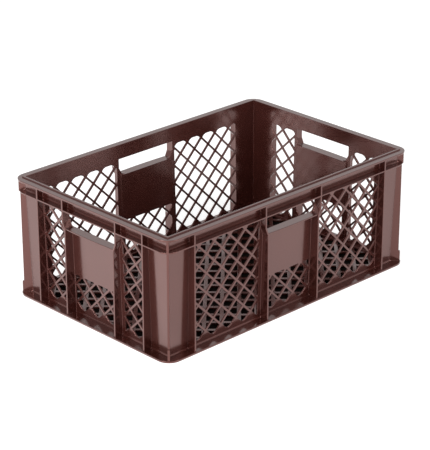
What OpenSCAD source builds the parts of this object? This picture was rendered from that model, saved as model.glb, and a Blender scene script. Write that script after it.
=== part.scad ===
// Stacking bakery crate, moulded in one piece from brown plastic.
// X runs along the long side, Y along the short side and Z up.
// The origin is the middle of the foot's underside. All sizes are in millimetres.

/* [Overall] */
// Length over the rim
crate_l = 600; // [520:10:760]
// Width over the rim
crate_w = 400; // [380:10:500]
// Height from the foot to the top of the stacking ridge
crate_h = 225; // [215:5:300]
// Plan radius of the corners of rim, ledge and foot
corner_r = 25; // [20:1:35]

/* [Walls] */
// Thickness of the wall sheet
wall_t = 2.8; // [2.2:0.1:3.6]
// From the rim's outer edge in to the wall's outer face, at the top
wall_inset = 14.6; // [12:0.2:18]
// Lean of each wall in degrees, which lets the crate leave its mould
wall_draft = 1.4; // [0.4:0.2:2]

/* [Rim and ledge] */
// Thickness of the flat rim
rim_t = 3.4; // [2.4:0.2:5]
// Height of the stacking ridge above the flat rim
ridge_h = 2; // [1:0.2:3]
// Width of the stacking ridge
ridge_w = 4.6; // [3:0.2:6]
// Height of the channel between the rim and the ledge under it
channel_h = 19.6; // [14:0.2:28]
// Thickness of the ledge under the channel
ledge_t = 2.5; // [1.8:0.1:4]
// From the rim's outer edge in to the edge of the ledge and of the ribs
ledge_inset = 2.6; // [1:0.2:6]

/* [Foot and floor] */
// Thickness of the flange round the foot
foot_t = 3.6; // [3.2:0.2:6]
// Size of the sloping fillet where a wall meets a flange
fillet = 2; // [1:0.2:4]
// Clearance round the stacking ridge of the crate below
stack_clearance = 0.6; // [0.3:0.1:1.5]
// Clearance over the stacking ridge of the crate below
stack_lift = 0.2; // [0.1:0.1:0.5]
// Height of the floor's underside above the ground
floor_lift = 2.4; // [2:0.2:5]
// Thickness of the floor
floor_t = 3; // [2.4:0.2:4]
// Distance between crossings of the floor's grid
floor_pitch = 42.7; // [34:0.1:60]
// Width of a strand of the floor's grid
floor_strand_w = 7; // [4:0.2:10]
// Plain border between the walls and the floor's grid
floor_border = 4.4; // [4:0.2:20]

/* [Ribs] */
// Thickness of each rib
rib_t = 3.4; // [2.4:0.2:5]
// From the crate's end in to the middle of the post rib
post_x = 64.5; // [56:0.5:72]
// From the side's middle to the middle of the upper handle rib
handle_x = 68.2; // [60:0.2:74]
// How far the handle rib steps in below the hand hole
handle_step = 5.8; // [2:0.2:10]
// Height over which the handle rib steps in
handle_ramp = 13; // [8:1:20]
// Thickness of the fin across each corner
fin_t = 4; // [3:0.2:6]
// From the crate's sharp corner in to the fin's edge, along the diagonal
fin_inset = 14.2; // [12:0.2:18]
// Height of the fin's wider heel at the foot
fin_heel = 24; // [10:1:40]

/* [Hand holes] */
// Height of the hand hole
hole_h = 31; // [26:1:36]
// Thickness of the lip under the hand hole
lip_t = 2.5; // [2:0.1:4]
// How far the middle of the lip bows out past its ends
lip_bow = 1.6; // [0.5:0.1:2.2]
// Length of the hand hole's cut-off lower corners
hole_corner = 9; // [4:1:12]
// Height of the hand hole's cut-off lower corners
hole_corner_h = 3; // [1:0.5:5]
// Height of the smooth plate under the lip
plate_h = 88; // [60:1:110]
// How far the plate and the grid under it lie behind the rest of the wall
plate_step = 2.6; // [1:0.2:4]

/* [Wall grid] */
// Distance between crossings
grid_pitch = 36; // [30:0.2:46]
// Width of a strand
strand_w = 3.8; // [3:0.1:6]
// From a long side's middle to the nearest column of crossings
long_node_x = 2; // [-18:0.5:18]
// From a short side's middle to the nearest column of crossings
short_node_x = -4.5; // [-18:0.5:18]
// Height of one row of crossings
node_z = 149; // [120:1:180]
// From the side's middle to the inner edge of each outer grid panel
panel_x = 71.4; // [71:0.2:80]
// Solid strip between a grid panel and the rib beside it
panel_gap = 1.6; // [1:0.2:5]
// Solid strip between the top of a grid panel and the ledge
panel_top_gap = 6.5; // [3:0.5:16]
// Height of the bottom edge of every grid panel
panel_z = 11.5; // [9:0.5:20]
// Longest cut-off at the corners of a cell that a panel's edge cuts short
cell_trim = 3; // [1:0.5:5]

/* [Hidden] */
cut = 1;
round_fn = 64;
bow_fn = 360;
least_cell = 9;
trim_share = 0.3;
touch = 0.01;
rim_z = crate_h - ridge_h - rim_t;
ledge_z = rim_z - channel_h - ledge_t;
lip_z = ledge_z - hole_h - lip_t;
plate_z = lip_z - plate_h;
ridge_inset = wall_inset + wall_t - ridge_w;
groove_inset = ridge_inset - stack_clearance;
groove_w = ridge_w + 2 * stack_clearance;
groove_h = ridge_h + stack_lift;
post_long = crate_l / 2 - post_x;
post_short = crate_w / 2 - post_x;
low_handle_x = handle_x - handle_step;
wall_reach = face_depth(0) + wall_t + plate_step;
crate_brown = [0.29, 0.15, 0.125];

// Depth of the wall's outer face behind the rim's outer edge, at height z
function face_depth(z) = wall_inset + (rim_z - z) * tan(wall_draft);

// The part of a convex outline on the low side of a line with normal n
function clip(p, n, d) = [
    for (i = [0:1:len(p) - 1])
        let (a = p[i], b = p[(i + 1) % len(p)], fa = n * a - d, fb = n * b - d)
            each concat(fa <= 0 ? [a] : [], fa * fb < 0 ? [a + (b - a) * fa / (fa - fb)] : [])
];

function clip_to(p, x0, x1, z0, z1) =
    clip(clip(clip(clip(p, [1, 0], x1), [-1, 0], -x0), [0, 1], z1), [0, -1], -z0);

// A point that lies up to the trim length from a, on the way to b
function trim_point(a, b) =
    a + (b - a) * min(cell_trim / norm(b - a), trim_share);

function on_edge(q, x0, x1, z0, z1) =
    min(abs(q.x - x0), abs(q.x - x1), abs(q.y - z0), abs(q.y - z1)) < touch;

// An outline with each corner that lies on the window's edge cut off
function trim_corners(p, x0, x1, z0, z1) = [
    for (i = [0:1:len(p) - 1])
        let (a = p[(i + len(p) - 1) % len(p)], b = p[i], c = p[(i + 1) % len(p)])
            each on_edge(b, x0, x1, z0, z1) ? [trim_point(b, a), trim_point(b, c)] : [b]
];

function spread(p, k) = max([for (q = p) q[k]]) - min([for (q = p) q[k]]);

// Square hole on its corner, between four strands
function diamond(x, z, h) = [[x + h, z], [x, z + h], [x - h, z], [x, z - h]];

// Every cell of a strand grid inside a window. A row of crossings passes
// through (nx, nz), and a cell that the window's edge cuts short is trimmed.
module cells(x0, x1, z0, z1, nx, nz, pitch, strand) {
    h = pitch / 2 - strand / sqrt(2);
    i0 = floor((x0 - nx) / (pitch / 2)) - 1;
    i1 = ceil((x1 - nx) / (pitch / 2)) + 1;
    j0 = floor((z0 - nz) / (pitch / 2)) - 1;
    j1 = ceil((z1 - nz) / (pitch / 2)) + 1;
    for (i = [i0:1:i1], j = [j0:1:j1])
        if (abs(i + j) % 2 == 1) {
            x = nx + i * pitch / 2;
            z = nz + j * pitch / 2;
            p = clip_to(diamond(x, z, h), x0, x1, z0, z1);
            if (len(p) > 2)
                if (min(spread(p, 0), spread(p, 1)) > least_cell)
                    polygon(trim_corners(p, x0, x1, z0, z1));
        }
}

// Plan outline of the crate, inset all round
module plan(inset) {
    r = corner_r - inset;
    l = crate_l - 2 * inset;
    w = crate_w - 2 * inset;
    square([l - 2 * r, w], center = true);
    square([l, w - 2 * r], center = true);
    for (x = [-1, 1], y = [-1, 1])
        translate([x * (l / 2 - r), y * (w / 2 - r)])
            circle(r = r, $fn = round_fn);
}

// Outline of a block whose sides lie d0 behind the rim's edge at
// height z0, and d1 behind it at height z1
module slope(size, z0, z1, d0, d1)
    polygon([
        [d0 - size / 2, z0],
        [size / 2 - d0, z0],
        [size / 2 - d1, z1],
        [d1 - size / 2, z1]
    ]);

// Block with four sloping sides
module sloped_block(z0, z1, d0, d1)
    intersection() {
        rotate([90, 0, 0])
            linear_extrude(crate_w, center = true)
                slope(crate_l, z0, z1, d0, d1);
        rotate([90, 0, 90])
            linear_extrude(crate_l, center = true)
                slope(crate_w, z0, z1, d0, d1);
    }

// Space inside the walls, from the ground to above the rim
module cavity()
    sloped_block(
        -cut,
        crate_h + cut,
        face_depth(-cut) + wall_t,
        face_depth(crate_h + cut) + wall_t
    );

// Its children at both long sides, seen from outside with depth along +Y
module long_sides()
    for (a = [0, 180])
        rotate(a)
            translate([0, -crate_w / 2, 0])
                children();

module short_sides()
    for (a = [90, 270])
        rotate(a)
            translate([0, -crate_l / 2, 0])
                children();

// Slab that follows the wall's lean, from depth d0 to d1 behind its face
module leaning_slab(half_w, z0, z1, d0, d1)
    translate([-half_w, 0, 0])
        rotate([90, 0, 90])
            linear_extrude(2 * half_w)
                polygon([
                    [face_depth(z0) + d0, z0],
                    [face_depth(z0) + d1, z0],
                    [face_depth(z1) + d1, z1],
                    [face_depth(z1) + d0, z1]
                ]);

module post_ribs(x)
    for (s = [-1, 1])
        translate([s * x - rib_t / 2, ledge_inset, 0])
            cube([rib_t, face_depth(0) + wall_t - ledge_inset, rim_z + rim_t / 2]);

// Upright rib beside the hand hole, which steps in under it
module handle_rib() {
    top = rim_z + rim_t / 2;
    translate([0, face_depth(0) + wall_t, 0])
        rotate([90, 0, 0])
            linear_extrude(face_depth(0) + wall_t - ledge_inset)
                polygon([
                    [low_handle_x - rib_t / 2, 0],
                    [low_handle_x + rib_t / 2, 0],
                    [low_handle_x + rib_t / 2, lip_z],
                    [handle_x + rib_t / 2, lip_z + handle_ramp],
                    [handle_x + rib_t / 2, top],
                    [handle_x - rib_t / 2, top],
                    [handle_x - rib_t / 2, lip_z + handle_ramp],
                    [low_handle_x - rib_t / 2, lip_z]
                ]);
}

// Shelf that closes the bottom of the hand hole, bowed out in the middle
module lip() {
    half = low_handle_x;
    bow_r = (half * half + lip_bow * lip_bow) / (2 * lip_bow);
    depth = face_depth(lip_z) + plate_step + wall_t - ledge_inset;
    translate([0, ledge_inset, lip_z])
        linear_extrude(lip_t)
            intersection() {
                translate([-half, 0])
                    square([2 * half, depth]);
                translate([0, bow_r])
                    circle(r = bow_r, $fn = bow_fn);
            }
}

// Everything that stands out from one side's wall
module side_ribs(post) {
    post_ribs(post);
    handle_rib();
    mirror([1, 0, 0])
        handle_rib();
    lip();
}

// Upright fin across each corner, wider in the channel and at the foot
module corner_fins() {
    wide_inset = corner_r * (sqrt(2) - 1) + ledge_inset / 2;
    fin_end = (face_depth(0) + wall_t) * sqrt(2);
    for (a = [0, 1], b = [0, 1])
        mirror([a, 0, 0])
            mirror([0, b, 0])
                translate([crate_l / 2, crate_w / 2, 0])
                    rotate(225)
                        translate([0, -fin_t / 2, 0]) {
                            translate([fin_inset, 0, 0])
                                cube([fin_end - fin_inset, fin_t, rim_z + rim_t / 2]);
                            translate([wide_inset, 0, ledge_z])
                                cube([fin_end - wide_inset, fin_t, rim_z - ledge_z + rim_t / 2]);
                            translate([wide_inset, 0, 0])
                                cube([fin_end - wide_inset, fin_t, fin_heel]);
                        }
}

// Sloping fillets where the walls meet the foot and the ledge
module wall_fillets() {
    sink = fillet / 2;
    for (z = [foot_t, ledge_z + ledge_t])
        sloped_block(z - sink, z + fillet, face_depth(z) - fillet - sink, face_depth(z));
}

// Window through one side's wall, in the shape of its children
module window()
    translate([0, wall_reach, 0])
        rotate([90, 0, 0])
            linear_extrude(wall_reach + cut)
                children();

module hand_hole()
    polygon([
        [hole_corner - low_handle_x, lip_z + lip_t],
        [low_handle_x - hole_corner, lip_z + lip_t],
        [low_handle_x - rib_t / 2, lip_z + lip_t + hole_corner_h],
        [handle_x - rib_t / 2, lip_z + handle_ramp + hole_corner_h],
        [handle_x - rib_t / 2, ledge_z],
        [rib_t / 2 - handle_x, ledge_z],
        [rib_t / 2 - handle_x, lip_z + handle_ramp + hole_corner_h],
        [rib_t / 2 - low_handle_x, lip_z + lip_t + hole_corner_h]
    ]);

// Two outer grid panels and the one under the smooth plate, all parts of one grid
module side_cells(post, node_x) {
    outer = post - rib_t / 2 - panel_gap;
    half = low_handle_x - rib_t / 2 - panel_gap;
    top = ledge_z - panel_top_gap;
    cells(-outer, -panel_x, panel_z, top, node_x, node_z, grid_pitch, strand_w);
    cells(panel_x, outer, panel_z, top, node_x, node_z, grid_pitch, strand_w);
    cells(-half, half, panel_z, plate_z, node_x, node_z, grid_pitch, strand_w);
}

// Groove under the foot, which fits over the ridge of the crate below
module stacking_groove()
    translate([0, 0, -cut])
        linear_extrude(groove_h + cut)
            difference() {
                plan(groove_inset);
                square([
                    crate_l - 2 * groove_inset - 2 * groove_w,
                    crate_w - 2 * groove_inset - 2 * groove_w
                ], center = true);
            }

// Floor with a diagonal grid of square holes. Its edge ends inside the walls.
module floor_plate() {
    inner = face_depth(0) + wall_t;
    x1 = crate_l / 2 - inner - floor_border;
    y1 = crate_w / 2 - inner - floor_border;
    edge = inner - wall_t / 2;
    translate([0, 0, floor_lift])
        linear_extrude(floor_t)
            difference() {
                square([crate_l - 2 * edge, crate_w - 2 * edge], center = true);
                cells(-x1, x1, -y1, y1, floor_pitch / 2, 0, floor_pitch, floor_strand_w);
            }
}

// The plates under the hand holes stand this far into the cavity
module plate_backs() {
    half = low_handle_x + rib_t / 2;
    long_sides()
        leaning_slab(half, 0, lip_z + lip_t, 0, wall_t + plate_step);
    short_sides()
        leaning_slab(half, 0, lip_z + lip_t, 0, wall_t + plate_step);
}

module plate_recess()
    leaning_slab(low_handle_x - rib_t / 2, foot_t, lip_z, -2 * fillet, plate_step);

module solid_form() {
    sloped_block(0, rim_z + rim_t, face_depth(0), face_depth(rim_z + rim_t));
    translate([0, 0, rim_z])
        linear_extrude(rim_t)
            plan(0);
    translate([0, 0, rim_z])
        linear_extrude(rim_t + ridge_h)
            square([crate_l - 2 * ridge_inset, crate_w - 2 * ridge_inset], center = true);
    translate([0, 0, ledge_z])
        linear_extrude(ledge_t)
            plan(ledge_inset);
    linear_extrude(foot_t)
        plan(0);
    wall_fillets();
    long_sides()
        side_ribs(post_long);
    short_sides()
        side_ribs(post_short);
    corner_fins();
}

// Everything that is cut out of one side
module side_cuts(post, node_x) {
    plate_recess();
    window()
        side_cells(post, node_x);
    window()
        hand_hole();
}

module crate()
    color(crate_brown) {
        difference() {
            solid_form();
            difference() {
                cavity();
                plate_backs();
            }
            long_sides()
                side_cuts(post_long, long_node_x);
            short_sides()
                side_cuts(post_short, short_node_x);
            stacking_groove();
        }
        floor_plate();
    }

crate();
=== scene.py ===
import math

import bmesh
import bpy
from mathutils import Matrix, Vector


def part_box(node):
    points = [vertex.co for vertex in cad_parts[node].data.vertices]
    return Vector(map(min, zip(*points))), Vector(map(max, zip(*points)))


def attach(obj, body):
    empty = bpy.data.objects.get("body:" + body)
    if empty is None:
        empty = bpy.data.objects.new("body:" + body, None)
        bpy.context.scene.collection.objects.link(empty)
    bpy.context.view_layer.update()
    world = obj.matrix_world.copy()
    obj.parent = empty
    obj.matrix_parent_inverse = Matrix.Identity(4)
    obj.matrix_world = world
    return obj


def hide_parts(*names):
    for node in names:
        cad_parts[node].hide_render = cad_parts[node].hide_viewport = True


MM = 0.001

# Photograph's frame and the camera that it was solved for, in millimetres
PHOTO_W, PHOTO_H = 430, 450
FOCAL_PX = 1951.2
SENSOR_MM = 36.0
CAMERA_AT = (-2247.9, -2320.8, 1495.7)
CAMERA_TARGET = (-9.8, -11.5, 110.0)
CAMERA_ROLL = -0.05
CAMERA_REACH = 100_000

# Rounding that the mould gives the edges, in millimetres, from EDGE_ANGLE degrees up
EDGE_RADIUS = 0.6
EDGE_SEGMENTS = 2
EDGE_ANGLE = 28
WELD = 0.002

# The plastic's browns, and the length in millimetres over which they drift
DEEP_BROWN = "#2f1511"
WARM_BROWN = "#361915"
DRIFT_LENGTH = 90

# Roughness of the gloss where it is clear and where it is cloudy, and the size
# of the patches in millimetres
CLEAR_GLOSS = 0.17
CLOUDY_GLOSS = 0.24
CLOUD_LENGTH = 30

# Sink and flow waves of the skin, in millimetres, and how much of them shows
WAVE_LENGTH = 22
WAVE_HEIGHT = 0.03
WAVE_STRENGTH = 0.07

# Where the two browns lie in the drift, and the range of the cloudiness
DRIFT_STOPS = (0.35, 0.65)
CLOUD_LOW, CLOUD_HIGH = 0.3, 0.7

# Half the width of the paper, and from the crate's outline in to where the
# painted shadow under the crate is full, in metres
PAPER_HALF = 14.0
SHADOW_INSET = 0.016

# The paper's own white, and the painted shadow that darkens it under the crate
PAPER_WHITE = "#e6e6e6"
PAPER_SHADOW = "#1a1614"

# Part of the paper's white that doesn't depend on the lamps, to the eye, and
# in reflections to the left and to the right of the crate's near corner; the
# lower value on the right is painted shade, standing in for the crate's shadow
# on the paper as seen in reflections
PAPER_LIFT = 0.62
LEFT_SHINE = 0.85
RIGHT_SHINE = 0.48

# Half the width, in metres, of the blend between the two
SHADE_BLUR = 0.15

# Brightness of the surround for matt surfaces and in reflections
SURROUND_FILL = 0.42
SURROUND_SHINE = 0.75

WHITE = (1, 1, 1, 1)

# Soft boxes: place, size and power, in metres and watts. Both face LIT_POINT,
# and the right one is weaker, because the long side is the darker one.
SOFT_BOXES = (
    ("left_box", (-3.4, -0.6, 1.5), (2.2, 1.8), 125),
    ("right_box", (0.6, -3.4, 1.5), (2.2, 1.8), 70),
)
LIT_POINT = (0, 0, 0.1)


def linear(code):
    """Linear colour of an sRGB hex code."""
    parts = [int(code[i:i + 2], 16) / 255 for i in (1, 3, 5)]
    bent = [c / 12.92 if c <= 0.04045 else ((c + 0.055) / 1.055) ** 2.4 for c in parts]
    return (*bent, 1.0)


def add(tree, kind, links=(), **settings):
    """Adds a node with its settings and links.

    A setting is a property or an input without links. Each link is an input
    and the output, or else the plain value, that it takes.
    """
    node = tree.nodes.new(kind)
    for name, value in settings.items():
        socket = name.replace("_", " ")
        match = [s for s in node.inputs if s.name.lower() == socket.lower()]
        if match:
            match[0].default_value = value
        else:
            setattr(node, name, value)
    for name, source in links:
        if isinstance(source, bpy.types.NodeSocket):
            tree.links.new(source, node.inputs[name])
        else:
            node.inputs[name].default_value = source
    return node


def new_material(name):
    """Empty material with an output node."""
    mat = bpy.data.materials.new(name)
    mat.use_nodes = True
    mat.node_tree.nodes.clear()
    return mat, mat.node_tree, mat.node_tree.nodes.new("ShaderNodeOutputMaterial")


def moulded_polyethylene():
    """High-density polyethylene, injection moulded in a polished steel mould.

    The eye gets a dark reddish brown under a hard gloss that mirrors the
    studio's white paper. The colour drifts with the flow of the melt, the gloss
    is cloudier in broad patches, and the skin waves where the plastic shrank.
    The index is above polyethylene's 1.54, because the paper is dimmer than the
    lit surroundings that the real crate mirrors.
    """
    mat, tree, out = new_material("moulded_polyethylene_brown")
    place = add(tree, "ShaderNodeTexCoord")
    # Drift of the pigment along the flow
    drift = add(tree, "ShaderNodeTexNoise", [("Vector", place.outputs["Object"])],
                Scale=1 / (DRIFT_LENGTH * MM), Detail=2.0, Roughness=0.5)
    tone = add(tree, "ShaderNodeValToRGB", [("Fac", drift.outputs["Fac"])])
    for stop, share, brown in zip(tone.color_ramp.elements, DRIFT_STOPS, (DEEP_BROWN, WARM_BROWN)):
        stop.position = share
        stop.color = linear(brown)
    # Cloudiness of the gloss
    cloud = add(tree, "ShaderNodeTexNoise", [("Vector", place.outputs["Object"])],
                Scale=1 / (CLOUD_LENGTH * MM), Detail=2.0, Roughness=0.5)
    gloss = add(tree, "ShaderNodeMapRange", [("Value", cloud.outputs["Fac"])],
                From_Min=CLOUD_LOW, From_Max=CLOUD_HIGH, To_Min=CLEAR_GLOSS, To_Max=CLOUDY_GLOSS)
    # Sink and flow waves of the skin
    wave = add(tree, "ShaderNodeTexNoise", [("Vector", place.outputs["Object"])],
               Scale=1 / (WAVE_LENGTH * MM), Detail=1.0, Roughness=0.4)
    skin = add(tree, "ShaderNodeBump", [("Height", wave.outputs["Fac"])],
               Strength=WAVE_STRENGTH, Distance=WAVE_HEIGHT * MM)
    shader = add(tree, "ShaderNodeBsdfPrincipled", [
        ("Base Color", tone.outputs["Color"]),
        ("Roughness", gloss.outputs["Result"]),
        ("Normal", skin.outputs["Normal"]),
    ], IOR=1.9, Specular_Tint=linear("#ffaca0"), Coat_Weight=1.0, Coat_Roughness=0.13, Coat_IOR=1.36)
    tree.links.new(shader.outputs["BSDF"], out.inputs["Surface"])
    return mat


def studio_paper(low, high):
    """Matt white paper, white to the eye and in reflections, with painted shade in reflections on the right
    of the crate's near corner.

    It keeps the crate's shadow from the lamps. Under the crate's box, which goes
    from low to high, it has a painted shadow: its colour is dark and its glow is
    off there, which shows only through the holes in the crate's floor.
    """
    mat, tree, out = new_material("studio_paper_white")
    place = add(tree, "ShaderNodeTexCoord")
    apart = add(tree, "ShaderNodeSeparateXYZ", [("Vector", place.outputs["Object"])])
    # Painted shadow mask: 0 under the crate's footprint, 1 outside it, with a soft edge just inside the
    # outline
    outside = []
    for axis, half in (("X", high.x), ("Y", high.y)):
        size = add(tree, "ShaderNodeMath", [(0, apart.outputs[axis])], operation="ABSOLUTE")
        past = add(tree, "ShaderNodeMapRange", [("Value", size.outputs[0])], From_Min=half - SHADOW_INSET,
                   From_Max=half - SHADOW_INSET / 2, To_Min=0.0, To_Max=1.0)
        outside.append(past.outputs["Result"])
    lit = add(tree, "ShaderNodeMath", list(enumerate(outside)), operation="MAXIMUM")
    seen = add(tree, "ShaderNodeLightPath")
    direct = add(tree, "ShaderNodeMath",
                 [(0, seen.outputs["Is Camera Ray"]), (1, seen.outputs["Is Transmission Ray"])],
                 operation="MAXIMUM")
    direct = add(tree, "ShaderNodeMath", [(0, direct.outputs[0]), (1, PAPER_LIFT)], operation="MULTIPLY")
    # Painted shade in reflections: dimmer on the right of a line through the crate's near corner
    across = add(tree, "ShaderNodeMath", [(0, apart.outputs["X"]), (1, apart.outputs["Y"])],
                 operation="SUBTRACT")
    corner = low.x - low.y
    side = add(tree, "ShaderNodeMapRange", [("Value", across.outputs[0])],
               From_Min=corner - SHADE_BLUR, From_Max=corner + SHADE_BLUR,
               To_Min=LEFT_SHINE, To_Max=RIGHT_SHINE)
    mirrored = add(tree, "ShaderNodeMath", [(0, seen.outputs["Is Glossy Ray"]), (1, side.outputs["Result"])],
                   operation="MULTIPLY")
    lift = add(tree, "ShaderNodeMath", [(0, direct.outputs[0]), (1, mirrored.outputs[0])], operation="ADD")
    # The painted shadow: no glow and the dark colour under the crate
    lift = add(tree, "ShaderNodeMath", [(0, lift.outputs[0]), (1, lit.outputs[0])], operation="MULTIPLY")
    colour = add(tree, "ShaderNodeMix",
                 [(0, lit.outputs[0]), (6, linear(PAPER_SHADOW)), (7, linear(PAPER_WHITE))],
                 data_type="RGBA")
    paper = add(tree, "ShaderNodeBsdfDiffuse", [("Color", colour.outputs[2])])
    glow = add(tree, "ShaderNodeEmission", [("Strength", lift.outputs[0])], Color=WHITE)
    both = add(tree, "ShaderNodeAddShader", [(0, paper.outputs[0]), (1, glow.outputs[0])])
    tree.links.new(both.outputs[0], out.inputs["Surface"])
    return mat


def moulded_crate(node):
    """Copy of the crate's solid with its facets joined and every edge rounded.

    The weighted normals let the large faces mirror as the flat faces that they are.
    """
    mesh = node.data.copy()
    mesh.name = "crate_moulding"
    bm = bmesh.new()
    bm.from_mesh(mesh)
    bmesh.ops.remove_doubles(bm, verts=bm.verts, dist=WELD * MM)
    for face in bm.faces:
        face.smooth = True
    bm.to_mesh(mesh)
    bm.free()
    piece = bpy.data.objects.new("crate_moulding", mesh)
    bpy.context.scene.collection.objects.link(piece)
    rounding = piece.modifiers.new("mould_radius", "BEVEL")
    rounding.width = EDGE_RADIUS * MM
    rounding.segments = EDGE_SEGMENTS
    rounding.limit_method = "ANGLE"
    rounding.angle_limit = math.radians(EDGE_ANGLE)
    rounding.use_clamp_overlap = False
    rounding.miter_outer = "MITER_ARC"
    rounding.face_strength_mode = "FSTR_ALL"
    flats = piece.modifiers.new("flat_faces", "WEIGHTED_NORMAL")
    flats.mode = "FACE_AREA"
    flats.use_face_influence = True
    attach(piece, "root")
    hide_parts("crate")
    return piece


def floor(low, high):
    """Paper sheet under the crate, far wider than the view."""
    mesh = bpy.data.meshes.new("studio_floor")
    corners = [(x * PAPER_HALF, y * PAPER_HALF, 0) for x, y in ((-1, -1), (1, -1), (1, 1), (-1, 1))]
    mesh.from_pydata(corners, [], [(0, 1, 2, 3)])
    sheet = bpy.data.objects.new("studio_floor", mesh)
    bpy.context.scene.collection.objects.link(sheet)
    mesh.materials.append(studio_paper(low, high))


def soft_box(name, at, size, power):
    """Rectangular soft lamp that faces the crate's middle."""
    data = bpy.data.lights.new(name, "AREA")
    data.shape = "RECTANGLE"
    data.size, data.size_y = size
    data.energy = power
    lamp = bpy.data.objects.new(name, data)
    bpy.context.scene.collection.objects.link(lamp)
    lamp.location = at
    lamp.rotation_euler = (Vector(LIT_POINT) - Vector(at)).to_track_quat("-Z", "Y").to_euler()


def studio():
    """Soft boxes at both visible sides and a pale surround."""
    for box in SOFT_BOXES:
        soft_box(*box)
    world = bpy.data.worlds.new("pale_surround")
    bpy.context.scene.world = world
    world.use_nodes = True
    tree = world.node_tree
    tree.nodes.clear()
    out = tree.nodes.new("ShaderNodeOutputWorld")
    seen = add(tree, "ShaderNodeLightPath")
    fill = add(tree, "ShaderNodeBackground", Color=WHITE, Strength=SURROUND_FILL)
    plain = add(tree, "ShaderNodeBackground", Color=WHITE, Strength=1.0)
    shine = add(tree, "ShaderNodeBackground", Color=WHITE, Strength=SURROUND_SHINE)
    lighting = add(tree, "ShaderNodeMixShader",
                   [(0, seen.outputs["Is Glossy Ray"]), (1, fill.outputs[0]), (2, shine.outputs[0])])
    direct = add(tree, "ShaderNodeMath",
                 [(0, seen.outputs["Is Camera Ray"]), (1, seen.outputs["Is Transmission Ray"])],
                 operation="MAXIMUM")
    mix = add(tree, "ShaderNodeMixShader",
              [(0, direct.outputs[0]), (1, lighting.outputs[0]), (2, plain.outputs[0])])
    tree.links.new(mix.outputs[0], out.inputs["Surface"])


def camera():
    """Camera at the photograph's place and angle."""
    data = bpy.data.cameras.new("photo_camera")
    data.sensor_width = SENSOR_MM
    data.lens = FOCAL_PX / max(PHOTO_W, PHOTO_H) * SENSOR_MM
    data.clip_end = CAMERA_REACH * MM
    cam = bpy.data.objects.new("photo_camera", data)
    bpy.context.scene.collection.objects.link(cam)
    at = Vector(CAMERA_AT) * MM
    look = Vector(CAMERA_TARGET) * MM - at
    roll = Matrix.Rotation(math.radians(CAMERA_ROLL), 3, "Z").to_quaternion()
    cam.location = at
    cam.rotation_mode = "QUATERNION"
    cam.rotation_quaternion = look.to_track_quat("-Z", "Y") @ roll
    bpy.context.scene.camera = cam


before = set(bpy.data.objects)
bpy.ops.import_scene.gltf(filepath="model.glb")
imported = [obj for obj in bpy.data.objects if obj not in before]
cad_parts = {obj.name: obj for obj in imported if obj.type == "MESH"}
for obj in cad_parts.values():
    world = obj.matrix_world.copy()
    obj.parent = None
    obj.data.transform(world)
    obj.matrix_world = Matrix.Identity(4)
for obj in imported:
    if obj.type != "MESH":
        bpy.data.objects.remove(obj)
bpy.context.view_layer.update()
crate_low, crate_high = (Vector(corner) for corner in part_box("crate"))

camera()
studio()
floor(crate_low, crate_high)
crate = moulded_crate(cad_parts["crate"])
crate.data.materials.clear()
crate.data.materials.append(moulded_polyethylene())

bpy.context.scene.view_settings.view_transform = "Standard"
